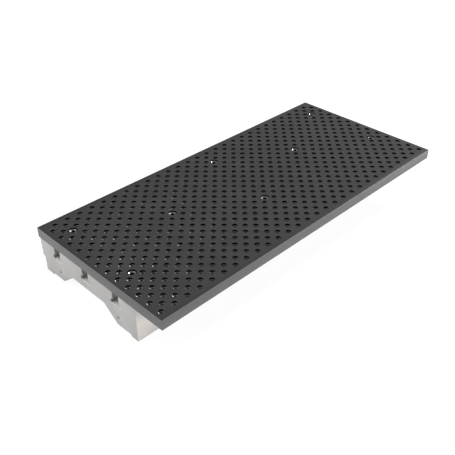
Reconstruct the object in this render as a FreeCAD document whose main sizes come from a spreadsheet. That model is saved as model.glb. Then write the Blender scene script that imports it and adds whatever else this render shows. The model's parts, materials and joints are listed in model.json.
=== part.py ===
"""Perforated fixture plate held down on a T-slotted machine table by eight socket-head screws.

X runs along the table, Y across it and Z up. The origin is under the middle of the plate, in the
plane of the two pads that the table stands on. Sizes are in millimetres.
"""

import FreeCAD, Part
import math
import os

import Sketcher

SIZES = {
    "plate_length": 711.2,
    "plate_width": 323.85,
    "plate_thickness": 19.05,
    "hole_pitch": 25.4,
    "hole_bore": 9.525,
    "end_margin": 12.7,
    "side_margin": 15.875,
    "least_web": 1.5,
    "screw_end_margin": 38.1,
    "screw_middle_reach": 165.1,
    "screw_centre_shift": 12.7,
    "screw_bore": 10.3,
    "counterbore_bore": 15.9,
    "counterbore_deep": 11.1,
    "shank_size": 9.525,
    "shank_length": 31.75,
    "head_size": 14.29,
    "head_tall": 9.525,
    "head_chamfer": 0.7,
    "socket_across_flats": 7.94,
    "socket_deep": 4.9,
    "shank_chamfer": 1.0,
    "table_end_inset": 2.2,
    "table_width": 258.8,
    "table_tall": 69.0,
    "table_back_inset": 0.125,
    "slot_pitch": 79.4,
    "throat_width": 16.0,
    "lip_thickness": 18.0,
    "slot_head_width": 25.5,
    "slot_head_tall": 8.5,
    "back_step_drop": 40.0,
    "back_step_inset": 5.2,
    "back_pad_width": 20.7,
    "front_pad_width": 17.0,
    "pad_relief": 3.3,
    "channel_back_foot": 70.5,
    "channel_front_foot": 78.0,
    "channel_back_roof": 40.4,
    "channel_front_roof": 45.7,
    "channel_tall": 28.0,
    "channel_fillet": 4.0,
    "end_hole_bore": 5.0,
    "end_hole_deep": 15.0,
    "end_hole_height": 19.1,
    "end_hole_shift": 2.5,
    "nut_length": 28.0,
    "nut_side_clearance": 0.2,
    "nut_floor_clearance": 0.5,
    "nut_top_drop": 1.0,
    "nut_chamfer": 1.2,
    "thread_clearance": 0.05,
}


class Size:
    """A length known both as a number and as the expression that binds it to the sheet."""

    def __init__(self, number, text):
        self.number = number
        self.text = text

    def __add__(self, other):
        other = as_size(other)
        return Size(self.number + other.number, f"({self.text} + {other.text})")

    def __sub__(self, other):
        other = as_size(other)
        return Size(self.number - other.number, f"({self.text} - {other.text})")

    def __mul__(self, factor):
        return Size(self.number * factor, f"({self.text} * {factor})")

    def __truediv__(self, divisor):
        return Size(self.number / divisor, f"({self.text} / {divisor})")

    def __neg__(self):
        return Size(-self.number, f"(0 mm - {self.text})")


def as_size(length):
    if isinstance(length, Size):
        return length
    return Size(length, f"({length} mm)")


class Sheet:
    """The spreadsheet of driving dimensions, read back one alias at a time as a Size."""

    def __init__(self, document):
        self.cells = document.addObject("Spreadsheet::Sheet", "sizes")
        for row, (alias, number) in enumerate(SIZES.items(), start=1):
            self.cells.set(f"A{row}", alias)
            self.cells.set(f"B{row}", str(number))
            self.cells.setAlias(f"B{row}", alias)
        document.recompute()

    def __getattr__(self, alias):
        return Size(float(getattr(self.cells, alias)), f"sizes.{alias} * 1 mm")


def bind(feature, name, length):
    """Give a feature's property its length, tied to the sheet."""
    feature.setExpression(name, length.text)


def new_body(document, label):
    body = document.addObject("PartDesign::Body", label)
    body.Label = label
    return body


def new_sketch(body, role, name, height=None):
    """A sketch on one of the body's own origin planes, raised by height along its normal."""
    plane = next(item for item in body.Origin.OriginFeatures if item.Role == role)
    sketch = body.newObject("Sketcher::SketchObject", name)
    sketch.AttachmentSupport = [(plane, "")]
    sketch.MapMode = "FlatFace"
    if height is not None:
        sketch.setExpression("AttachmentOffset.Base.z", height.text)
    return sketch


def add_outline(sketch, corners):
    """A closed outline of straight edges whose corners are all tied to the sheet."""
    vectors = [FreeCAD.Vector(across.number, up.number, 0) for across, up in corners]
    first = sketch.GeometryCount
    for start, end in zip(vectors, vectors[1:] + vectors[:1]):
        sketch.addGeometry(Part.LineSegment(start, end))
    count = len(corners)
    for index in range(count):
        edge = first + index
        following = first + (index + 1) % count
        sketch.addConstraint(Sketcher.Constraint("Coincident", edge, 2, following, 1))
    for index, (across, up) in enumerate(corners):
        pin_point(sketch, first + index, 1, across, up)


def pin_point(sketch, edge, end, across, up):
    """Hold one point of a sketch at a place given by two sizes."""
    for kind, length in (("DistanceX", across), ("DistanceY", up)):
        constraint = Sketcher.Constraint(kind, -1, 1, edge, end, length.number)
        sketch.setExpression(f"Constraints[{sketch.addConstraint(constraint)}]", length.text)


def add_circle(sketch, across, up, diameter):
    """A circle whose centre and diameter are tied to the sheet."""
    centre = FreeCAD.Vector(across.number, up.number, 0)
    edge = sketch.addGeometry(Part.Circle(centre, FreeCAD.Vector(0, 0, 1), diameter.number / 2))
    pin_point(sketch, edge, 3, across, up)
    constraint = Sketcher.Constraint("Diameter", edge, diameter.number)
    sketch.setExpression(f"Constraints[{sketch.addConstraint(constraint)}]", diameter.text)


def pad(body, sketch, name, length, both_ways=False):
    feature = body.newObject("PartDesign::Pad", name)
    feature.Profile = sketch
    feature.Midplane = both_ways
    bind(feature, "Length", length)
    return feature


def pocket(body, sketch, name, depth, downwards=True):
    feature = body.newObject("PartDesign::Pocket", name)
    feature.Profile = sketch
    feature.Reversed = not downwards
    bind(feature, "Length", depth)
    return feature


def edges_where(shape, test):
    """Names of the edges whose middle point passes the test."""
    names = []
    for number, edge in enumerate(shape.Edges, start=1):
        middle = edge.valueAt((edge.FirstParameter + edge.LastParameter) / 2)
        if test(edge, middle):
            names.append(f"Edge{number}")
    return names


def runs_along(edge, direction):
    """True for a straight edge that runs along the direction."""
    if edge.Curve.TypeId != "Part::GeomLine":
        return False
    return abs(abs(edge.Curve.Direction.dot(direction)) - 1) < 1e-6


def near(number, length):
    return abs(number - length.number) < 1e-4


def table_middle(size):
    """Where the table's middle line lies across the plate: its back is just inside the plate's."""
    return (size.plate_width - size.table_width) / 2 - size.table_back_inset


def slot_lines(size):
    """Where the middle lines of the three T-slots lie across the plate, from the back."""
    middle = table_middle(size)
    return [middle + size.slot_pitch, middle, middle - size.slot_pitch]


def screw_places(size):
    """The hold-down screws as (along, across), slot by slot from the back."""
    back, middle, front = slot_lines(size)
    reach = size.plate_length / 2 - size.screw_end_margin
    inner = size.screw_middle_reach
    shift = size.screw_centre_shift
    return [
        (-reach, back),
        (shift, back),
        (reach, back),
        (-inner, middle),
        (inner, middle),
        (-reach, front),
        (-shift, front),
        (reach, front),
    ]


def grid_places(size):
    """Centres of the plate's holes: rows half a pitch apart, every other row shifted half a pitch.

    A place is left out where a counterbore stands in its way.
    """
    step = size.hole_pitch.number / 2
    columns = int((size.plate_length.number - 2 * size.end_margin.number) / step + 0.001)
    rows = int((size.plate_width.number - 2 * size.side_margin.number) / step + 0.001)
    clear = (size.counterbore_bore.number + size.hole_bore.number) / 2 + size.least_web.number
    screws = [(along.number, across.number) for along, across in screw_places(size)]
    places = []
    for row in range(rows + 1):
        across = (rows / 2 - row) * step
        for column in range((row + 1) % 2, columns + 1, 2):
            along = (column - columns / 2) * step
            if all(math.hypot(along - x, across - y) > clear for x, y in screws):
                places.append((along, across))
    return places


def make_fixture_plate(document, size):
    """The slab with its grid of holes, then the counterbored seats of the eight screws."""
    body = new_body(document, "fixture_plate")
    outline = new_sketch(body, "XY_Plane", "plate_outline")
    length = size.plate_length / 2
    width = size.plate_width / 2
    add_outline(outline, [(-length, -width), (length, -width), (length, width), (-length, width)])
    bore = size.hole_bore.number / 2
    up = FreeCAD.Vector(0, 0, 1)
    places = [FreeCAD.Vector(along, across, 0) for along, across in grid_places(size)]
    outline.addGeometry([Part.Circle(place, up, bore) for place in places])
    for along, across in screw_places(size):
        add_circle(outline, along, across, size.screw_bore)
    pad(body, outline, "perforated_slab", size.plate_thickness)
    document.recompute()

    seats = new_sketch(body, "XY_Plane", "screw_seats", size.plate_thickness)
    for along, across in screw_places(size):
        add_circle(seats, along, across, size.counterbore_bore)
    body.Tip = pocket(body, seats, "counterbores", size.counterbore_deep)
    body.Placement.Base.z = size.table_tall.number
    bind(body, "Placement.Base.z", size.table_tall)
    return body


def table_section(size):
    """Corners of the table's section, front to back, as heights above its feet."""
    front = -size.table_width / 2
    back = size.table_width / 2
    top = size.table_tall
    lip = top - size.lip_thickness
    floor = lip - size.slot_head_tall
    ground = as_size(0.0)
    relief = size.pad_relief
    corners = [(front, ground), (front, top)]
    for middle in (-size.slot_pitch, ground, size.slot_pitch):
        throat = size.throat_width / 2
        head = size.slot_head_width / 2
        corners += [
            (middle - throat, top),
            (middle - throat, lip),
            (middle - head, lip),
            (middle - head, floor),
            (middle + head, floor),
            (middle + head, lip),
            (middle + throat, lip),
            (middle + throat, top),
        ]
    step = top - size.back_step_drop
    inset = back - size.back_step_inset
    corners += [(back, top), (back, step), (inset, step), (inset, ground)]
    corners += [(inset - size.back_pad_width, ground), (inset - size.back_pad_width, relief)]
    corners += [(size.channel_back_foot, relief), (size.channel_back_roof, size.channel_tall)]
    corners += [(-size.channel_front_roof, size.channel_tall), (-size.channel_front_foot, relief)]
    corners += [(front + size.front_pad_width, relief), (front + size.front_pad_width, ground)]
    return corners


def make_machine_table(document, size):
    """The T-slotted table: one section run along X, rounded in its channel, drilled at both ends."""
    body = new_body(document, "machine_table")
    section = new_sketch(body, "YZ_Plane", "table_section")
    add_outline(section, table_section(size))
    length = size.plate_length - size.table_end_inset * 2
    run = pad(body, section, "table_casting", length, both_ways=True)
    document.recompute()

    roof = size.channel_tall
    along_table = FreeCAD.Vector(1, 0, 0)
    corners = edges_where(
        run.Shape, lambda edge, point: runs_along(edge, along_table) and near(point.z, roof)
    )
    rounding = body.newObject("PartDesign::Fillet", "channel_rounding")
    rounding.Base = (run, corners)
    bind(rounding, "Radius", size.channel_fillet)
    document.recompute()

    half = length / 2
    for name, end in (("left", -half), ("right", half)):
        holes = new_sketch(body, "YZ_Plane", f"{name}_end_holes", end)
        for middle in (-size.slot_pitch, size.slot_pitch):
            add_circle(holes, middle - size.end_hole_shift, size.end_hole_height, size.end_hole_bore)
        body.Tip = pocket(body, holes, f"{name}_end_drilling", size.end_hole_deep, name == "right")
    bind(body, "Placement.Base.y", table_middle(size))
    return body


def make_screw(document, size, number, along, across):
    """A socket-head cap screw, made with its seat at the height of its own origin."""
    body = new_body(document, f"hold_down_screw_{number}")
    zero = as_size(0.0)
    shank = new_sketch(body, "XZ_Plane", "screw_profile")
    radius = size.shank_size / 2
    head = size.head_size / 2
    edge = size.head_chamfer
    tip = size.shank_chamfer
    tall = size.head_tall
    length = -size.shank_length
    corners = [(zero, length), (radius - tip, length), (radius, length + tip), (radius, zero)]
    corners += [(head, zero), (head, tall - edge), (head - edge, tall), (zero, tall)]
    add_outline(shank, corners)
    turned = body.newObject("PartDesign::Revolution", "turned_blank")
    turned.Profile = shank
    turned.ReferenceAxis = (shank, ["V_Axis"])
    turned.Angle = 360
    document.recompute()

    socket = new_sketch(body, "XY_Plane", "hex_socket", tall)
    corner = size.socket_across_flats / math.sqrt(3)
    hexagon = []
    for turn in range(6):
        angle = math.radians(60 * turn)
        hexagon.append((corner * math.cos(angle), corner * math.sin(angle)))
    add_outline(socket, hexagon)
    body.Tip = pocket(body, socket, "driver_socket", size.socket_deep)
    seat = size.table_tall + size.plate_thickness - size.counterbore_deep
    place_at(body, along, across, seat)
    return body


def make_nut(document, size, number, along, across):
    """A T-nut, made with the top of its flange at the height of its own origin."""
    body = new_body(document, f"t_nut_{number}")
    section = new_sketch(body, "YZ_Plane", "nut_section")
    neck = size.throat_width / 2 - size.nut_side_clearance
    flange = size.slot_head_width / 2 - size.nut_side_clearance
    top = size.lip_thickness - size.nut_top_drop
    foot = size.nut_floor_clearance - size.slot_head_tall
    edge = size.nut_chamfer
    zero = as_size(0.0)
    corners = [(-flange + edge, foot), (flange - edge, foot), (flange, foot + edge), (flange, zero)]
    corners += [(neck, zero), (neck, top - edge), (neck - edge, top), (edge - neck, top)]
    corners += [(-neck, top - edge), (-neck, zero), (-flange, zero), (-flange, foot + edge)]
    add_outline(section, corners)
    pad(body, section, "nut_bar", size.nut_length, both_ways=True)
    document.recompute()

    thread = new_sketch(body, "XY_Plane", "thread_bore", top)
    add_circle(thread, zero, zero, size.shank_size + size.thread_clearance * 2)
    body.Tip = pocket(body, thread, "thread", top - foot)
    place_at(body, along, across, size.table_tall - size.lip_thickness)
    return body


def place_at(body, along, across, height):
    """Bind a body's place to the sheet."""
    bind(body, "Placement.Base.x", along)
    bind(body, "Placement.Base.y", across)
    bind(body, "Placement.Base.z", height)


def check_document(document, bodies):
    """Stop if any object failed to build, or any body's shape isn't one valid solid."""
    for item in document.Objects:
        if "Invalid" in item.State or "Error" in item.State:
            raise RuntimeError(f"{item.Name} did not build: {item.State}")
    for body in bodies:
        shape = body.Shape
        if shape.isNull() or not shape.isValid() or len(shape.Solids) != 1:
            raise RuntimeError(f"{body.Label} is not one valid solid")


def main():
    document = FreeCAD.newDocument("fixture_plate")
    size = Sheet(document)
    bodies = [make_fixture_plate(document, size), make_machine_table(document, size)]
    for number, (along, across) in enumerate(screw_places(size), start=1):
        bodies.append(make_screw(document, size, number, along, across))
        bodies.append(make_nut(document, size, number, along, across))
    document.recompute()
    check_document(document, bodies)
    os.makedirs("parts", exist_ok=True)
    for body in bodies:
        body.Shape.exportStep(os.path.join("parts", body.Label + ".step"))
        box = body.Shape.BoundBox
        print(body.Label, len(body.Shape.Faces), "faces", round(body.Shape.Volume / 1000, 2), "cm3",
              [round(value, 2) for value in (box.XMin, box.XMax, box.YMin, box.YMax, box.ZMin, box.ZMax)])


main()
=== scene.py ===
"""Looks of a perforated fixture plate screwed down on a T-slotted machine table.

Lengths are in metres, in the row frame: X along the table, Y to its back and Z up.
"""

import json
import math

import bmesh
import bpy
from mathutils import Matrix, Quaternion, Vector

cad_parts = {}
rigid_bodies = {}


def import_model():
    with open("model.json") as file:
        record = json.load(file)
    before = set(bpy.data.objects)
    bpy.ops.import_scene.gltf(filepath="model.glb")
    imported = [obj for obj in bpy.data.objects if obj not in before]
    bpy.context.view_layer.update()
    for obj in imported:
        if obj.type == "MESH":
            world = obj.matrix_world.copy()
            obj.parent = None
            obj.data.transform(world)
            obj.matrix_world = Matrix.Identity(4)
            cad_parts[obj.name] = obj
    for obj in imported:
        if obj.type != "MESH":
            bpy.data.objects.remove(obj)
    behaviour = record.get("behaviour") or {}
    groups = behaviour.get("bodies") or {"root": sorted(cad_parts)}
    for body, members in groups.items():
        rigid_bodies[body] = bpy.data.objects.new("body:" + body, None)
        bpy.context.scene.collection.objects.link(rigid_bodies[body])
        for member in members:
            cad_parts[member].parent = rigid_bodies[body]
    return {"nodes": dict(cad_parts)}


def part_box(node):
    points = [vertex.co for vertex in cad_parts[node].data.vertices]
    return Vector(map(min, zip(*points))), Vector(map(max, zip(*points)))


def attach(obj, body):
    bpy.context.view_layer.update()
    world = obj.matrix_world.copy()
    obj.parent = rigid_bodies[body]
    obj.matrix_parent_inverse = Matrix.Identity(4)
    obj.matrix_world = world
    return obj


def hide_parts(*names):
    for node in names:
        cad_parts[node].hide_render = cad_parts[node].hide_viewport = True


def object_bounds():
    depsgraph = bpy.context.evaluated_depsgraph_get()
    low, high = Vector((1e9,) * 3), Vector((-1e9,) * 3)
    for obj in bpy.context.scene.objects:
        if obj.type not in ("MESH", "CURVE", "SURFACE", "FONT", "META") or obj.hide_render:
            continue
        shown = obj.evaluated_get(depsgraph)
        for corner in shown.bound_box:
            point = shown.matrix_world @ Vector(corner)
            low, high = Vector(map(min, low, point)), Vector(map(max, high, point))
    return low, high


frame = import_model()
cad_low, cad_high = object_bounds()

MM = 0.001
WHOLE_TURN = 2 * math.pi

# Plate and its grid of holes
PLATE_LOW, PLATE_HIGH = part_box("fixture_plate")
HOLE_STEP = 12.7 * MM
END_MARGIN = 12.7 * MM
SIDE_MARGIN = 15.875 * MM
HOLE_RADIUS = 4.7625 * MM
HOLE_SIDES = 24
MOUTH_CHAMFER = 0.15 * MM
LEDGE_DEPTH = 3.3 * MM
THREAD_RADIUS = 3.5 * MM
LEAD_IN_WIDTH = 0.55 * MM
LEAD_IN_DEPTH = 0.35 * MM
THREAD_PITCH = 1.5875 * MM
PLATE_EDGE = 0.5 * MM
SEAT_RADIUS = 7.95 * MM
SEAT_DEPTH = 11.1 * MM
SEAT_BORE = 5.15 * MM
SEAT_SIDES = 48
SEAT_CLEAR = 6.0 * MM
PAST = 1.0 * MM

# How upright a face's normal stands when the face is level, and at least when it is a cone
LEVEL = 0.99
SLOPED = 0.3

# Hold-down screws
SCREW_COUNT = 8
HEAD_RADIUS = 7.145 * MM
HEAD_TALL = 9.525 * MM
HEAD_ROUND = 0.9 * MM
HEAD_ROUND_STEPS = 4
HEAD_FOOT = 0.2 * MM
SOCKET_FLATS = 7.94 * MM
SOCKET_CORNER = SOCKET_FLATS / math.sqrt(3)
SOCKET_DEPTH = 4.9 * MM
SOCKET_LEAD_IN_WIDTH = 1.1 * MM
SOCKET_LEAD_IN_DEPTH = 0.77 * MM
SHANK_RADIUS = 4.7625 * MM
SHANK_TIP = 1.0 * MM
NUT_EDGE = 0.25 * MM

# Table
TABLE_LOW, TABLE_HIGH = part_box("machine_table")
TABLE_EDGE = 0.5 * MM
SLOT_FLOOR = 27.0 * MM
END_BAND = 1.0 * MM
SIDE_BAND = 6.0 * MM
TOP_BAND = 0.6 * MM
SLOTTED_FROM_SIDE = 20.0 * MM

# Floor, world and lamps
FLOOR_SIZE = 30.0
FLOOR_GLOW = 0.92
WORLD_LIGHT = 0.42
LAMP_DISTANCE = 5.0

# Camera, solved from the places of the grid holes in the photograph
AIM = Vector((-128.08, -66.40, 88.30)) * MM
CAMERA_DISTANCE = 1117.2 * MM
CAMERA_AZIMUTH = math.radians(45.15)
CAMERA_ELEVATION = math.radians(35.21)
CAMERA_ROLL = math.radians(-0.093)
CAMERA_LENS = 52.287


def deselect():
    """Nothing selected and no object in edit mode."""
    if bpy.context.object and bpy.context.object.mode != "OBJECT":
        bpy.ops.object.mode_set(mode="OBJECT")
    bpy.ops.object.select_all(action="DESELECT")


def select_only(piece):
    """The piece alone selected and active."""
    deselect()
    piece.select_set(True)
    bpy.context.view_layer.objects.active = piece


def settle(piece):
    """Puts the piece's place and turn into its mesh."""
    select_only(piece)
    bpy.ops.object.transform_apply(location=True, rotation=True, scale=True)


def added(name):
    """The object that the last primitive made, under its own name."""
    piece = bpy.context.object
    piece.name = name
    piece.data.name = name
    return piece


def pick(piece, kind, test):
    """In edit mode, selects the faces or edges that pass the test, and nothing else."""
    bpy.ops.mesh.select_mode(type=kind)
    bpy.ops.mesh.select_all(action="DESELECT")
    mesh = bmesh.from_edit_mesh(piece.data)
    chosen = mesh.faces if kind == "FACE" else mesh.edges if kind == "EDGE" else mesh.verts
    for item in chosen:
        if test(item):
            item.select_set(True)
    mesh.select_flush_mode()
    bmesh.update_edit_mesh(piece.data)


def lathe(name, profile, sides):
    """A closed turned shape: the (radius, height) profile is drawn point by point and spun about Z."""
    deselect()
    bpy.ops.mesh.primitive_plane_add(size=MM, location=(0, 0, 0))
    piece = added(name)
    bpy.ops.object.mode_set(mode="EDIT")
    bpy.ops.mesh.select_all(action="SELECT")
    bpy.ops.mesh.merge(type="CENTER")
    bpy.ops.mesh.select_all(action="SELECT")
    radius, height = profile[0]
    bpy.ops.transform.translate(value=(radius, 0, height))
    for (old_radius, old_height), (radius, height) in zip(profile, profile[1:]):
        step = (radius - old_radius, 0, height - old_height)
        bpy.ops.mesh.extrude_region_move(TRANSFORM_OT_translate={"value": step})
    bpy.ops.mesh.select_all(action="SELECT")
    bpy.ops.mesh.spin(steps=sides, angle=WHOLE_TURN, center=(0, 0, 0), axis=(0, 0, 1))
    bpy.ops.mesh.select_all(action="SELECT")
    bpy.ops.mesh.remove_doubles(threshold=0.001 * MM)
    bpy.ops.mesh.normals_make_consistent(inside=False)
    bpy.ops.object.mode_set(mode="OBJECT")
    return piece


def cut(piece, cutter, operation="DIFFERENCE"):
    """Cuts the piece with the cutter and deletes the cutter."""
    boolean = piece.modifiers.new("cut", "BOOLEAN")
    boolean.operation = operation
    boolean.solver = "MANIFOLD"
    boolean.object = cutter
    select_only(piece)
    bpy.ops.object.modifier_apply(modifier=boolean.name)
    bpy.data.objects.remove(cutter)


def repeat(piece, count, offset):
    """Copies the piece in a straight row, joined in one mesh."""
    row = piece.modifiers.new("row", "ARRAY")
    row.count = count
    row.use_relative_offset = False
    row.use_constant_offset = True
    row.constant_offset_displace = offset
    select_only(piece)
    bpy.ops.object.modifier_apply(modifier=row.name)


def smooth(piece, degrees=30):
    """Shades the piece smooth but for its sharp edges."""
    select_only(piece)
    bpy.ops.object.shade_smooth_by_angle(angle=math.radians(degrees))


def twin(piece, name):
    """A copy of the piece with a mesh of its own."""
    copy = piece.copy()
    copy.data = piece.data.copy()
    copy.name = name
    copy.data.name = name
    bpy.context.scene.collection.objects.link(copy)
    return copy


def screw_axes():
    """Where the hold-down screws stand, as (x, y), read from their nodes."""
    places = []
    for number in range(1, SCREW_COUNT + 1):
        low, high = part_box(f"hold_down_screw_{number}")
        places.append(((low.x + high.x) / 2, (low.y + high.y) / 2))
    return places


SCREW_AXES = screw_axes()


def hole_cutter(top, bottom):
    """The shape of one grid hole: chamfered mouth, wide bore, ledge, thread lead-in, thread bore."""
    ledge = top - LEDGE_DEPTH
    mouth = HOLE_RADIUS + MOUTH_CHAMFER
    profile = [
        (0, bottom - PAST),
        (THREAD_RADIUS, bottom - PAST),
        (THREAD_RADIUS, ledge - LEAD_IN_DEPTH),
        (THREAD_RADIUS + LEAD_IN_WIDTH, ledge),
        (HOLE_RADIUS, ledge),
        (HOLE_RADIUS, top - MOUTH_CHAMFER),
        (mouth + PAST, top + PAST),
        (0, top + PAST),
    ]
    return lathe("hole_cutter", profile, HOLE_SIDES)


def seat_cutter(top, bottom):
    """The counterbore and clearance bore of one hold-down screw."""
    mouth = SEAT_RADIUS + MOUTH_CHAMFER
    profile = [
        (0, bottom - PAST),
        (SEAT_BORE, bottom - PAST),
        (SEAT_BORE, top - SEAT_DEPTH),
        (SEAT_RADIUS, top - SEAT_DEPTH),
        (SEAT_RADIUS, top - MOUTH_CHAMFER),
        (mouth + PAST, top + PAST),
        (0, top + PAST),
    ]
    return lathe("seat_cutter", profile, SEAT_SIDES)


def join(pieces):
    """All the pieces in one mesh, the first one's."""
    deselect()
    for piece in pieces:
        piece.select_set(True)
    bpy.context.view_layer.objects.active = pieces[0]
    bpy.ops.object.join()
    return pieces[0]


def grid_cutter(top, bottom):
    """Cutters for the whole grid: two plain grids, each set between the rows of the other."""
    columns = round((PLATE_HIGH.x - PLATE_LOW.x - 2 * END_MARGIN) / HOLE_STEP) + 1
    rows = round((PLATE_HIGH.y - PLATE_LOW.y - 2 * SIDE_MARGIN) / HOLE_STEP) + 1
    first_x = PLATE_LOW.x + END_MARGIN
    last_y = (rows - 1) / 2 * HOLE_STEP
    grids = []
    for shift in (0, 1):
        pins = hole_cutter(top, bottom)
        pins.location = (first_x + (1 - shift) * HOLE_STEP, last_y - shift * HOLE_STEP, 0)
        settle(pins)
        repeat(pins, columns // 2 + shift, (2 * HOLE_STEP, 0, 0))
        repeat(pins, rows // 2, (0, -2 * HOLE_STEP, 0))
        grids.append(pins)
    pins = join(grids)
    bpy.ops.object.mode_set(mode="EDIT")
    pick(pins, "VERT", lambda vert: any(
        math.hypot(vert.co.x - x, vert.co.y - y) < SEAT_CLEAR for x, y in SCREW_AXES))
    bpy.ops.mesh.select_linked()
    bpy.ops.mesh.delete(type="VERT")
    bpy.ops.object.mode_set(mode="OBJECT")
    return pins


def make_plate():
    """The slab with its broken outer edges, the grid of stepped holes and the screws' seats."""
    middle = (PLATE_LOW + PLATE_HIGH) / 2
    deselect()
    bpy.ops.mesh.primitive_cube_add(size=1, location=middle)
    plate = added("perforated_plate")
    plate.scale = PLATE_HIGH - PLATE_LOW
    settle(plate)
    bpy.ops.object.mode_set(mode="EDIT")
    bpy.ops.mesh.select_all(action="SELECT")
    bpy.ops.mesh.bevel(offset=PLATE_EDGE, segments=2, affect="EDGES")
    bpy.ops.object.mode_set(mode="OBJECT")

    top, bottom = PLATE_HIGH.z, PLATE_LOW.z
    cut(plate, grid_cutter(top, bottom))
    seats = []
    for x, y in SCREW_AXES:
        seat = seat_cutter(top, bottom)
        seat.location = (x, y, 0)
        settle(seat)
        seats.append(seat)
    cut(plate, join(seats))
    smooth(plate)
    return plate


def plate_finish(face):
    """Which finish a face of the plate has, as an index into plate_finishes."""
    centre, flat = face.center, abs(face.normal.z)
    inside_x = PLATE_LOW.x + PLATE_EDGE * 2 < centre.x < PLATE_HIGH.x - PLATE_EDGE * 2
    inside_y = PLATE_LOW.y + PLATE_EDGE * 2 < centre.y < PLATE_HIGH.y - PLATE_EDGE * 2
    depth = PLATE_HIGH.z - centre.z
    if flat > LEVEL:
        at_surface = depth < PAST / 10 or centre.z < PLATE_LOW.z + PAST / 10
        return 0 if at_surface else 4
    if not (inside_x and inside_y):
        return 7 if inside_y else 1
    if flat > SLOPED:
        return 3 if depth < PAST else 5
    in_seat = any(math.hypot(centre.x - x, centre.y - y) < SEAT_RADIUS + PAST for x, y in SCREW_AXES)
    return 6 if depth > LEDGE_DEPTH and not in_seat else 2


def make_from_node(node, name, edge):
    """A node's own mesh, made of whole faces again, with its sharp edges broken."""
    piece = twin(frame["nodes"][node], name)
    piece.parent = None
    select_only(piece)
    bpy.ops.object.mode_set(mode="EDIT")
    bpy.ops.mesh.select_all(action="SELECT")
    bpy.ops.mesh.remove_doubles(threshold=0.002 * MM)
    bpy.ops.mesh.normals_make_consistent(inside=False)
    bpy.ops.mesh.dissolve_limited(angle_limit=math.radians(1))
    bpy.ops.object.mode_set(mode="OBJECT")
    broken = piece.modifiers.new("broken_edges", "BEVEL")
    broken.width = edge
    broken.segments = 2
    broken.limit_method = "ANGLE"
    broken.angle_limit = math.radians(30)
    bpy.ops.object.modifier_apply(modifier=broken.name)
    smooth(piece)
    return piece


def hexagon_cutter(top):
    """The socket: a hexagonal hole with a pointed floor."""
    tall = SOCKET_DEPTH + PAST
    deselect()
    bpy.ops.mesh.primitive_cylinder_add(
        vertices=6, radius=SOCKET_CORNER, depth=tall, location=(0, 0, top - SOCKET_DEPTH + tall / 2))
    prism = added("socket_cutter")
    settle(prism)
    bpy.ops.object.mode_set(mode="EDIT")
    pick(prism, "FACE", lambda face: face.normal.z < -0.9)
    bpy.ops.mesh.inset(thickness=SOCKET_CORNER * 0.3)
    bpy.ops.mesh.merge(type="CENTER")
    bpy.ops.transform.translate(value=(0, 0, -SOCKET_CORNER * 0.25))
    bpy.ops.object.mode_set(mode="OBJECT")
    return prism


def socket_mouth(top):
    """The turned lead-in at the mouth of the socket."""
    inner = SOCKET_CORNER - 0.1 * MM
    slope = SOCKET_LEAD_IN_DEPTH / SOCKET_LEAD_IN_WIDTH
    profile = [
        (0, top - SOCKET_LEAD_IN_DEPTH),
        (inner, top - SOCKET_LEAD_IN_DEPTH),
        (inner + SOCKET_LEAD_IN_WIDTH + PAST, top + PAST * slope),
        (0, top + PAST * slope),
    ]
    return lathe("socket_mouth", profile, SEAT_SIDES)


def screw_finish(face):
    """Which finish a face of the pattern screw has: 0 black oxide, 1 lead-in, 2 socket."""
    height, reach = face.center.z, math.hypot(face.center.x, face.center.y)
    if reach < SOCKET_CORNER and 0 < height < HEAD_TALL - SOCKET_LEAD_IN_DEPTH / 2:
        return 2
    cone = SLOPED < face.normal.z < 0.97 and height > HEAD_TALL - SOCKET_LEAD_IN_DEPTH
    return 1 if cone and reach < SOCKET_CORNER + SOCKET_LEAD_IN_WIDTH else 0


def make_screw():
    """One socket-head screw at the origin, its seat at height 0, later copied to its places."""
    low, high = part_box("hold_down_screw_1")
    shank = high.z - low.z - HEAD_TALL
    profile = [
        (0, -shank),
        (SHANK_RADIUS - SHANK_TIP, -shank),
        (SHANK_RADIUS, SHANK_TIP - shank),
        (SHANK_RADIUS, 0),
        (HEAD_RADIUS - HEAD_FOOT, 0),
        (HEAD_RADIUS, HEAD_FOOT),
    ]
    for step in range(HEAD_ROUND_STEPS + 1):
        turn = step / HEAD_ROUND_STEPS * math.pi / 2
        profile.append((HEAD_RADIUS - HEAD_ROUND * (1 - math.cos(turn)),
                        HEAD_TALL - HEAD_ROUND * (1 - math.sin(turn))))
    profile.append((0, HEAD_TALL))
    screw = lathe("cap_screw", profile, SEAT_SIDES)
    cut(screw, socket_mouth(HEAD_TALL))
    cut(screw, hexagon_cutter(HEAD_TALL))
    smooth(screw)
    return screw


# Materials

def add_node(tree, kind, **settings):
    node = tree.nodes.new(kind)
    for name, value in settings.items():
        setattr(node, name, value)
    return node


def calculate(tree, operation, first, second=None, clamp=False):
    """A Math node; each input is a socket or a number."""
    node = add_node(tree, "ShaderNodeMath", operation=operation, use_clamp=clamp)
    for index, value in enumerate((first, second)):
        if isinstance(value, bpy.types.NodeSocket):
            tree.links.new(value, node.inputs[index])
        elif value is not None:
            node.inputs[index].default_value = value
    return node.outputs[0]


def remap(tree, value, low, high, to_low=0.0, to_high=1.0, smoothly=False):
    """A value's range turned into another, which it doesn't leave."""
    node = add_node(tree, "ShaderNodeMapRange")
    node.interpolation_type = "SMOOTHSTEP" if smoothly else "LINEAR"
    for index, number in enumerate((low, high, to_low, to_high), start=1):
        node.inputs[index].default_value = number
    tree.links.new(value, node.inputs[0])
    return node.outputs[0]


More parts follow.
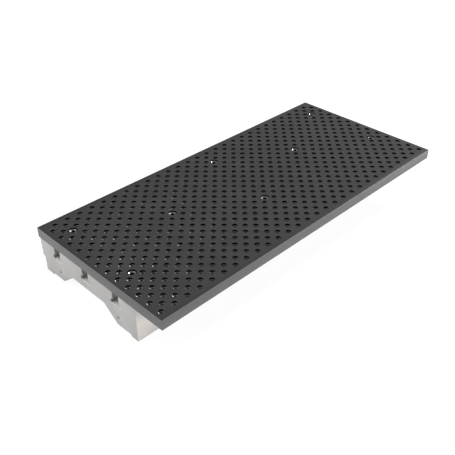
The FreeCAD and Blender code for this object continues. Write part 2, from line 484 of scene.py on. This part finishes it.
def blend(tree, amount, first, second):
    """Mixes two colours, each a socket or three numbers, by a socket or number."""
    node = add_node(tree, "ShaderNodeMix", data_type="RGBA")
    for name, value in (("Factor", amount), ("A", first), ("B", second)):
        socket = next(item for item in node.inputs if item.name == name and
                      item.type == ("VALUE" if name == "Factor" else "RGBA"))
        if isinstance(value, bpy.types.NodeSocket):
            tree.links.new(value, socket)
        else:
            socket.default_value = value if name == "Factor" else (*value, 1)
    return next(item for item in node.outputs if item.type == "RGBA")


def new_group(name, inputs, outputs):
    """A shader node group with named float or vector inputs and float outputs."""
    group = bpy.data.node_groups.new(name, "ShaderNodeTree")
    for label, default in inputs.items():
        kind = "NodeSocketVector" if default is None else "NodeSocketFloat"
        socket = group.interface.new_socket(label, in_out="INPUT", socket_type=kind)
        if default is not None:
            socket.default_value = default
    for label in outputs:
        group.interface.new_socket(label, in_out="OUTPUT", socket_type="NodeSocketFloat")
    source = add_node(group, "NodeGroupInput")
    sink = add_node(group, "NodeGroupOutput")
    return group, source.outputs, sink.inputs


def use_group(tree, group, **values):
    """Places a group in a material. Underscores in a name stand for spaces."""
    node = add_node(tree, "ShaderNodeGroup", node_tree=group)
    for name, value in values.items():
        socket = node.inputs[name.replace("_", " ")]
        if isinstance(value, bpy.types.NodeSocket):
            tree.links.new(value, socket)
        else:
            socket.default_value = value
    return node.outputs


def noise(tree, vector, scale, detail=3.0, roughness=0.5):
    """A noise from 0 to 1, with scale counted per metre."""
    node = add_node(tree, "ShaderNodeTexNoise")
    node.inputs["Scale"].default_value = scale
    node.inputs["Detail"].default_value = detail
    node.inputs["Roughness"].default_value = roughness
    tree.links.new(vector, node.inputs["Vector"])
    return node.outputs["Fac"]


def stretch(tree, vector, scale):
    """The place on the piece, drawn out along its axes."""
    node = add_node(tree, "ShaderNodeMapping", vector_type="POINT")
    node.inputs["Scale"].default_value = scale
    tree.links.new(vector, node.inputs["Vector"])
    return node.outputs["Vector"]


def make_mottle():
    """Cloudy and fine variation of a finish, about 1."""
    group, given, result = new_group("mottle", {"Place": None, "Cloud": 25.0, "Depth": 0.1}, ["Shade"])
    cloud = add_node(group, "ShaderNodeTexNoise")
    cloud.inputs["Detail"].default_value = 4
    group.links.new(given["Place"], cloud.inputs["Vector"])
    group.links.new(given["Cloud"], cloud.inputs["Scale"])
    speck = noise(group, given["Place"], 1400, 2)
    both = calculate(group, "ADD", calculate(group, "MULTIPLY", cloud.outputs["Fac"], 1.4),
                     calculate(group, "MULTIPLY", speck, 0.6))
    swing = calculate(group, "MULTIPLY", calculate(group, "SUBTRACT", both, 1.0), given["Depth"])
    group.links.new(calculate(group, "ADD", swing, 1.0), result["Shade"])
    return group


def make_lay():
    """Fine tool marks that run along X: their height, and a mask of the deeper ones."""
    group, given, result = new_group("tool_lay", {"Place": None}, ["Height", "Scratch"])
    fine = noise(group, stretch(group, given["Place"], (14, 1600, 1600)), 1, 3, 0.6)
    broad = noise(group, stretch(group, given["Place"], (5, 260, 260)), 1, 2, 0.5)
    height = calculate(group, "ADD", calculate(group, "MULTIPLY", fine, 0.6),
                       calculate(group, "MULTIPLY", broad, 0.4))
    group.links.new(height, result["Height"])
    group.links.new(remap(group, fine, 0.62, 0.72), result["Scratch"])
    return group


def make_hole_distance():
    """Distance from the nearest hole of the staggered grid, and 1 inside the drilled area."""
    group, given, result = new_group("hole_distance", {"Place": None}, ["Distance", "Drilled"])
    split = add_node(group, "ShaderNodeSeparateXYZ")
    group.links.new(given["Place"], split.inputs[0])
    x, y = split.outputs["X"], split.outputs["Y"]
    last_x = PLATE_HIGH.x - END_MARGIN
    last_y = PLATE_HIGH.y - SIDE_MARGIN
    across = calculate(group, "DIVIDE", calculate(group, "SUBTRACT", x, y), HOLE_STEP)
    along = calculate(group, "DIVIDE", calculate(group, "ADD", x, y), HOLE_STEP)
    parts = []
    for value, shift in ((across, (last_x + last_y) / HOLE_STEP), (along, (last_x - last_y) / HOLE_STEP)):
        wrapped = calculate(group, "FLOORED_MODULO", calculate(group, "ADD", value, shift), 2.0)
        offset = calculate(group, "SUBTRACT", wrapped, 1.0)
        parts.append(calculate(group, "MULTIPLY", offset, offset))
    square = calculate(group, "DIVIDE", calculate(group, "ADD", parts[0], parts[1]), 2.0)
    distance = calculate(group, "MULTIPLY", calculate(group, "SQRT", square), HOLE_STEP)
    group.links.new(distance, result["Distance"])
    reach = 2 * HOLE_RADIUS
    in_x = calculate(group, "LESS_THAN", calculate(group, "ABSOLUTE", x), last_x + reach * 0.6)
    in_y = calculate(group, "LESS_THAN", calculate(group, "ABSOLUTE", y), last_y + reach * 0.6)
    group.links.new(calculate(group, "MULTIPLY", in_x, in_y), result["Drilled"])
    return group


MOTTLE = make_mottle()
LAY = make_lay()
HOLE_DISTANCE = make_hole_distance()


def new_material(name, metallic=0.0, specular=0.5):
    """A material with its shader, and the place on the piece that its patterns read."""
    material = bpy.data.materials.new(name)
    material.use_nodes = True
    tree = material.node_tree
    shader = next(node for node in tree.nodes if node.type == "BSDF_PRINCIPLED")
    shader.inputs["Metallic"].default_value = metallic
    shader.inputs["Specular IOR Level"].default_value = specular
    place = add_node(tree, "ShaderNodeTexCoord").outputs["Object"]
    return material, tree, shader, place


def set_bump(tree, shader, height, distance, strength=1.0):
    bump = add_node(tree, "ShaderNodeBump")
    bump.inputs["Distance"].default_value = distance
    bump.inputs["Strength"].default_value = strength
    tree.links.new(height, bump.inputs["Height"])
    tree.links.new(bump.outputs["Normal"], shader.inputs["Normal"])


def tinted(tree, colour, shade):
    """A colour made lighter and darker by a value about 1."""
    node = add_node(tree, "ShaderNodeMix", data_type="RGBA", blend_type="MULTIPLY")
    node.inputs[0].default_value = 1.0
    grey = add_node(tree, "ShaderNodeCombineColor")
    for index in range(3):
        tree.links.new(shade, grey.inputs[index])
    colours = [item for item in node.inputs if item.type == "RGBA"]
    colours[0].default_value = (*colour, 1)
    tree.links.new(grey.outputs[0], colours[1])
    return next(item for item in node.outputs if item.type == "RGBA")


def coated_face():
    """Black coated, ground faces of the plate: satin, faintly mottled, worn to grey round the holes."""
    material, tree, shader, place = new_material("black_coated_face", specular=0.02)
    mottle = use_group(tree, MOTTLE, Place=place, Cloud=18.0, Depth=0.35)["Shade"]
    lay = use_group(tree, LAY, Place=place)
    hole = use_group(tree, HOLE_DISTANCE, Place=place)
    rim = remap(tree, hole["Distance"], HOLE_RADIUS + MOUTH_CHAMFER, HOLE_RADIUS + 3 * MOUTH_CHAMFER,
                1.0, 0.0, smoothly=True)
    rim = calculate(tree, "MULTIPLY", rim, hole["Drilled"])
    patchy = remap(tree, noise(tree, place, 160, 3), 0.45, 0.7)
    worn = calculate(tree, "MULTIPLY", calculate(tree, "MULTIPLY", rim, patchy), 0.35)
    scratched = calculate(tree, "MULTIPLY", lay["Scratch"], 0.06)
    amount = calculate(tree, "MAXIMUM", worn, scratched)
    colour = blend(tree, amount, tinted(tree, (0.0262, 0.0262, 0.0265), mottle), (0.16, 0.16, 0.162))
    tree.links.new(colour, shader.inputs["Base Color"])
    rough = calculate(tree, "MULTIPLY", mottle, 0.66)
    tree.links.new(rough, shader.inputs["Roughness"])
    set_bump(tree, shader, lay["Height"], 0.02 * MM)
    return material


def milled_side_painted_light(name, base):
    """The plate's milled sides: a lighter grey than its faces, partly a milled finish and partly painted
    light.
    """
    material, tree, shader, place = new_material(name, specular=0.15)
    mottle = use_group(tree, MOTTLE, Place=place, Cloud=30.0, Depth=0.16)["Shade"]
    lay = use_group(tree, LAY, Place=place)
    # The base grey is partly painted light on the sides.
    colour = blend(tree, calculate(tree, "MULTIPLY", lay["Scratch"], 0.12),
                   tinted(tree, base, mottle), (0.3, 0.3, 0.3))
    tree.links.new(colour, shader.inputs["Base Color"])
    tree.links.new(calculate(tree, "MULTIPLY", mottle, 0.5), shader.inputs["Roughness"])
    set_bump(tree, shader, lay["Height"], 0.04 * MM)
    return material


def bore_wall_painted_shade():
    """The holes' wide upper walls and the screws' seats: near black, a painted shade far darker than the
    coat on the faces.
    """
    material, tree, shader, place = new_material("black_bore_wall", specular=0.01)
    mottle = use_group(tree, MOTTLE, Place=place, Cloud=90.0, Depth=0.3)["Shade"]
    # Painted shade: the walls are near black, far darker than the coat, for the shade in the holes.
    tree.links.new(tinted(tree, (0.001, 0.001, 0.001), mottle), shader.inputs["Base Color"])
    tree.links.new(calculate(tree, "MULTIPLY", mottle, 0.45), shader.inputs["Roughness"])
    return material


def bore_ledge():
    """The flat ledges in the holes and the floors of the seats: cut clean, a grey a little lighter than the
    face, which is painted light against the shade in the holes.
    """
    material, tree, shader, place = new_material("cut_ledge", specular=0.15)
    mottle = use_group(tree, MOTTLE, Place=place, Cloud=120.0, Depth=0.3)["Shade"]
    tree.links.new(tinted(tree, (0.03, 0.03, 0.0305), mottle), shader.inputs["Base Color"])
    tree.links.new(calculate(tree, "MULTIPLY", mottle, 0.5), shader.inputs["Roughness"])
    return material


def thread_lead_in():
    """The smooth turned cone that leads into each thread: dark, with a sharp shine."""
    material, tree, shader, place = new_material("turned_lead_in", specular=1.0)
    mottle = use_group(tree, MOTTLE, Place=place, Cloud=160.0, Depth=0.25)["Shade"]
    tree.links.new(tinted(tree, (0.01, 0.01, 0.0102), mottle), shader.inputs["Base Color"])
    tree.links.new(calculate(tree, "MULTIPLY", mottle, 0.2), shader.inputs["Roughness"])
    return material


def threaded_bore():
    """The threaded lower bores: dark, with the turns of the thread; the crests' lighter grey is painted
    light and the roots' near black painted shade.
    """
    material, tree, shader, place = new_material("threaded_bore", specular=0.2)
    mottle = use_group(tree, MOTTLE, Place=place, Cloud=110.0, Depth=0.3)["Shade"]
    split = add_node(tree, "ShaderNodeSeparateXYZ")
    tree.links.new(place, split.inputs[0])
    height = calculate(tree, "MULTIPLY", split.outputs["Z"], WHOLE_TURN / THREAD_PITCH)
    turns = calculate(tree, "SINE", height)
    # Painted light on the thread crests, painted shade in the roots.
    crest_painted_light = remap(tree, turns, 0.3, 1.0)
    colour = blend(tree, crest_painted_light, tinted(tree, (0.006, 0.006, 0.0062), mottle), (0.03, 0.03, 0.03))
    tree.links.new(colour, shader.inputs["Base Color"])
    tree.links.new(calculate(tree, "MULTIPLY", mottle, 0.4), shader.inputs["Roughness"])
    set_bump(tree, shader, turns, 0.3 * MM)
    return material


def bare_rim():
    """The chamfers round the holes, where the coat is rubbed thin."""
    material, tree, shader, place = new_material("rubbed_rim", specular=0.1)
    mottle = use_group(tree, MOTTLE, Place=place, Cloud=140.0, Depth=0.5)["Shade"]
    patchy = remap(tree, noise(tree, place, 220, 3), 0.4, 0.7)
    colour = blend(tree, calculate(tree, "MULTIPLY", patchy, 0.4),
                   tinted(tree, (0.02, 0.02, 0.0202), mottle), (0.1, 0.1, 0.101))
    tree.links.new(colour, shader.inputs["Base Color"])
    tree.links.new(calculate(tree, "MULTIPLY", mottle, 0.5), shader.inputs["Roughness"])
    return material


def table_iron(name, base, rough, skin=0.0, metallic=0.2):
    """Cast iron of the table: tool marks along X, brown stains, and a cast skin where it isn't machined."""
    material, tree, shader, place = new_material(name, metallic=metallic, specular=0.4)
    mottle = use_group(tree, MOTTLE, Place=place, Cloud=14.0, Depth=0.14)["Shade"]
    lay = use_group(tree, LAY, Place=place)
    stain = remap(tree, noise(tree, place, 9, 4, 0.6), 0.52, 0.72)
    colour = blend(tree, calculate(tree, "MULTIPLY", stain, 0.16),
                   tinted(tree, base, mottle), (0.46, 0.40, 0.34))
    tree.links.new(colour, shader.inputs["Base Color"])
    tree.links.new(calculate(tree, "MULTIPLY", mottle, rough), shader.inputs["Roughness"])
    if skin:
        set_bump(tree, shader, noise(tree, place, 420, 5, 0.6), skin * MM)
    else:
        set_bump(tree, shader, lay["Height"], 0.03 * MM)
    return material


def table_finish(face):
    """Which finish a face of the table has, as an index into table_finishes."""
    centre, normal = face.center, face.normal
    low, high = TABLE_LOW, TABLE_HIGH
    if abs(normal.x) > 0.5:
        deep = low.x + END_BAND < centre.x < high.x - END_BAND
        return 2 if deep else 1
    if abs(normal.y) > 0.5 and not low.y + SIDE_BAND < centre.y < high.y - SIDE_BAND:
        return 0
    if centre.z > high.z - TOP_BAND:
        return 0
    slotted = low.y + SLOTTED_FROM_SIDE < centre.y < high.y - SLOTTED_FROM_SIDE
    if centre.z < high.z - SLOT_FLOOR or not slotted:
        return 3
    return 4 if normal.z > 0.9 else 2


def black_oxide(name, base, rough):
    """Black oxide on steel, rubbed lighter in specks."""
    material, tree, shader, place = new_material(name, metallic=1.0)
    mottle = use_group(tree, MOTTLE, Place=place, Cloud=260.0, Depth=0.3)["Shade"]
    rubbed = remap(tree, noise(tree, place, 700, 3), 0.58, 0.75)
    colour = blend(tree, calculate(tree, "MULTIPLY", rubbed, 0.4), tinted(tree, base, mottle),
                   (0.3, 0.295, 0.29))
    tree.links.new(colour, shader.inputs["Base Color"])
    tree.links.new(calculate(tree, "MULTIPLY", mottle, rough), shader.inputs["Roughness"])
    set_bump(tree, shader, noise(tree, place, 2500, 2), 0.01 * MM)
    return material


def socket_lead_in():
    """The screws' turned socket mouths: smooth black oxide with a sharp shine."""
    material, tree, shader, place = new_material("turned_socket_mouth", specular=1.0)
    mottle = use_group(tree, MOTTLE, Place=place, Cloud=260.0, Depth=0.2)["Shade"]
    tree.links.new(tinted(tree, (0.03, 0.03, 0.03), mottle), shader.inputs["Base Color"])
    tree.links.new(calculate(tree, "MULTIPLY", mottle, 0.26), shader.inputs["Roughness"])
    return material


def socket_wall_painted_shading():
    """Inside of the sockets: black oxide; the upper wall is painted lighter and it fades to near black
    toward the floor, painted light and painted shade.
    """
    material, tree, shader, place = new_material("socket_wall_painted_shading", metallic=0.3, specular=0.3)
    mottle = use_group(tree, MOTTLE, Place=place, Cloud=260.0, Depth=0.3)["Shade"]
    split = add_node(tree, "ShaderNodeSeparateXYZ")
    tree.links.new(place, split.inputs[0])
    head_top = PLATE_HIGH.z - SEAT_DEPTH + HEAD_TALL
    # Painted shade toward the socket's floor, painted light on its upper wall.
    deep = remap(tree, split.outputs["Z"], head_top - 2.6 * MM, head_top - 1.6 * MM, smoothly=True)
    colour = blend(tree, deep, (0.004, 0.004, 0.004), tinted(tree, (0.09, 0.09, 0.092), mottle))
    tree.links.new(colour, shader.inputs["Base Color"])
    tree.links.new(calculate(tree, "MULTIPLY", mottle, 0.5), shader.inputs["Roughness"])
    return material


def dress(piece, materials, choose=None):
    """Gives the piece its materials, face by face where choose says which."""
    piece.data.materials.clear()
    for material in materials:
        piece.data.materials.append(material)
    for face in piece.data.polygons:
        face.material_index = choose(face) if choose else 0


def install(piece, body, node):
    """Puts the piece on its body, in place of the node that it stands for."""
    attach(piece, body)
    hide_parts(node)


# The object

plate = make_plate()
# The plate's side and end are one milled grey: the side's darker base is painted shade against the near
# lamp, the end's lighter base painted light.
plate_finishes = [
    coated_face(), milled_side_painted_light("milled_plate_side_painted_shade", (0.105, 0.105, 0.1055)), bore_wall_painted_shade(), bare_rim(),
    bore_ledge(), thread_lead_in(), threaded_bore(), milled_side_painted_light("milled_plate_end", (0.125, 0.125, 0.126)),
]
dress(plate, plate_finishes, plate_finish)
install(plate, "plate", "fixture_plate")

table = make_from_node("machine_table", "slotted_table", TABLE_EDGE)
# The table is one iron in lit and shaded copies: the side's lighter base is painted light and the end's
# darker base painted shade.
table_finishes = [
    table_iron("iron_side_painted_light", (0.56, 0.53, 0.50), 0.5),
    table_iron("iron_end_painted_shade", (0.39, 0.385, 0.38), 0.5),
    # The slot walls' dark base is painted shade in the slots; the slot floors' pale base is painted light
    # where light falls in from the end.
    table_iron("slot_wall_iron_painted_shade", (0.28, 0.275, 0.265), 0.55),
    table_iron("cast_skin_iron", (0.42, 0.41, 0.395), 0.7, skin=0.12, metallic=0.0),
    table_iron("slot_floor_iron_painted_light", (0.78, 0.77, 0.75), 0.45),
]
dress(table, table_finishes, table_finish)
install(table, "table", "machine_table")

oxide = black_oxide("black_oxide_screw", (0.042, 0.042, 0.043), 0.4)
pattern = make_screw()
dress(pattern, [oxide, socket_lead_in(), socket_wall_painted_shading()], screw_finish)
seat_height = PLATE_HIGH.z - SEAT_DEPTH
for number, (x, y) in enumerate(SCREW_AXES, start=1):
    screw = twin(pattern, f"cap_screw_{number}")
    screw.location = (x, y, seat_height)
    settle(screw)
    install(screw, "plate", f"hold_down_screw_{number}")
bpy.data.objects.remove(pattern)

nut_steel = black_oxide("black_oxide_nut", (0.1, 0.1, 0.1), 0.45)
for number in range(1, SCREW_COUNT + 1):
    nut = make_from_node(f"t_nut_{number}", f"slot_nut_{number}", NUT_EDGE)
    dress(nut, [nut_steel])
    install(nut, "plate", f"t_nut_{number}")


# Floor, light and camera

def seen_directly(tree):
    """1 for camera, glossy and transmission rays."""
    path = add_node(tree, "ShaderNodeLightPath").outputs
    seen = calculate(tree, "MAXIMUM", path["Is Camera Ray"], path["Is Glossy Ray"])
    return calculate(tree, "MAXIMUM", seen, path["Is Transmission Ray"])


def white_floor():
    """Plain white floor: a little of its own light where it is seen, so that it stays white."""
    material = bpy.data.materials.new("white_floor")
    material.use_nodes = True
    tree = material.node_tree
    tree.nodes.clear()
    lit = add_node(tree, "ShaderNodeBsdfDiffuse")
    lit.inputs["Color"].default_value = (0.8, 0.8, 0.8, 1)
    seen = add_node(tree, "ShaderNodeBsdfDiffuse")
    seen.inputs["Color"].default_value = (0.12, 0.12, 0.12, 1)
    glow = add_node(tree, "ShaderNodeEmission")
    glow.inputs["Strength"].default_value = FLOOR_GLOW
    both = add_node(tree, "ShaderNodeAddShader")
    tree.links.new(seen.outputs[0], both.inputs[0])
    tree.links.new(glow.outputs[0], both.inputs[1])
    mix = add_node(tree, "ShaderNodeMixShader")
    tree.links.new(seen_directly(tree), mix.inputs[0])
    tree.links.new(lit.outputs[0], mix.inputs[1])
    tree.links.new(both.outputs[0], mix.inputs[2])
    output = add_node(tree, "ShaderNodeOutputMaterial")
    tree.links.new(mix.outputs[0], output.inputs["Surface"])
    return material


deselect()
bpy.ops.mesh.primitive_plane_add(size=FLOOR_SIZE, location=(0, 0, cad_low.z))
floor = added("floor")
floor.data.materials.append(white_floor())

world = bpy.data.worlds.new("studio")
bpy.context.scene.world = world
world.use_nodes = True
sky = world.node_tree
sky.nodes.clear()
plain = add_node(sky, "ShaderNodeBackground")
plain.inputs["Strength"].default_value = WORLD_LIGHT
white = add_node(sky, "ShaderNodeBackground")
white.inputs["Strength"].default_value = 1.0
for background in (plain, white):
    background.inputs["Color"].default_value = (1, 1, 1, 1)
chosen = add_node(sky, "ShaderNodeMixShader")
sky.links.new(seen_directly(sky), chosen.inputs[0])
sky.links.new(plain.outputs[0], chosen.inputs[1])
sky.links.new(white.outputs[0], chosen.inputs[2])
sky_output = add_node(sky, "ShaderNodeOutputWorld")
sky.links.new(chosen.outputs[0], sky_output.inputs["Surface"])


def add_lamp(name, azimuth, elevation, size, power):
    """A square soft lamp far out on a bearing from +X, that faces the middle of the plate."""
    turn, rise = math.radians(azimuth), math.radians(elevation)
    toward = Vector((math.cos(turn) * math.cos(rise), math.sin(turn) * math.cos(rise), math.sin(rise)))
    data = bpy.data.lights.new(name, "AREA")
    data.size = size
    data.energy = power
    lamp = bpy.data.objects.new(name, data)
    bpy.context.scene.collection.objects.link(lamp)
    lamp.location = toward * LAMP_DISTANCE + Vector((0, 0, PLATE_HIGH.z))
    lamp.rotation_euler = toward.to_track_quat("Z", "Y").to_euler()


add_lamp("right_lamp", -1, 33, 1.2, 550)
add_lamp("left_lamp", 140, 35, 2.8, 190)
add_lamp("near_lamp", -75, 16, 1.8, 150)

forward = Vector((
    math.sin(CAMERA_AZIMUTH) * math.cos(CAMERA_ELEVATION),
    math.cos(CAMERA_AZIMUTH) * math.cos(CAMERA_ELEVATION),
    -math.sin(CAMERA_ELEVATION),
))
camera_data = bpy.data.cameras.new("camera")
camera_data.lens = CAMERA_LENS
camera_data.clip_start = 0.05
camera_data.clip_end = 60
camera = bpy.data.objects.new("camera", camera_data)
bpy.context.scene.collection.objects.link(camera)
camera.location = AIM - forward * CAMERA_DISTANCE
camera.rotation_mode = "QUATERNION"
camera.rotation_quaternion = Quaternion(forward, CAMERA_ROLL) @ forward.to_track_quat("-Z", "Y")
bpy.context.scene.camera = camera
bpy.context.scene.view_settings.view_transform = "Standard"
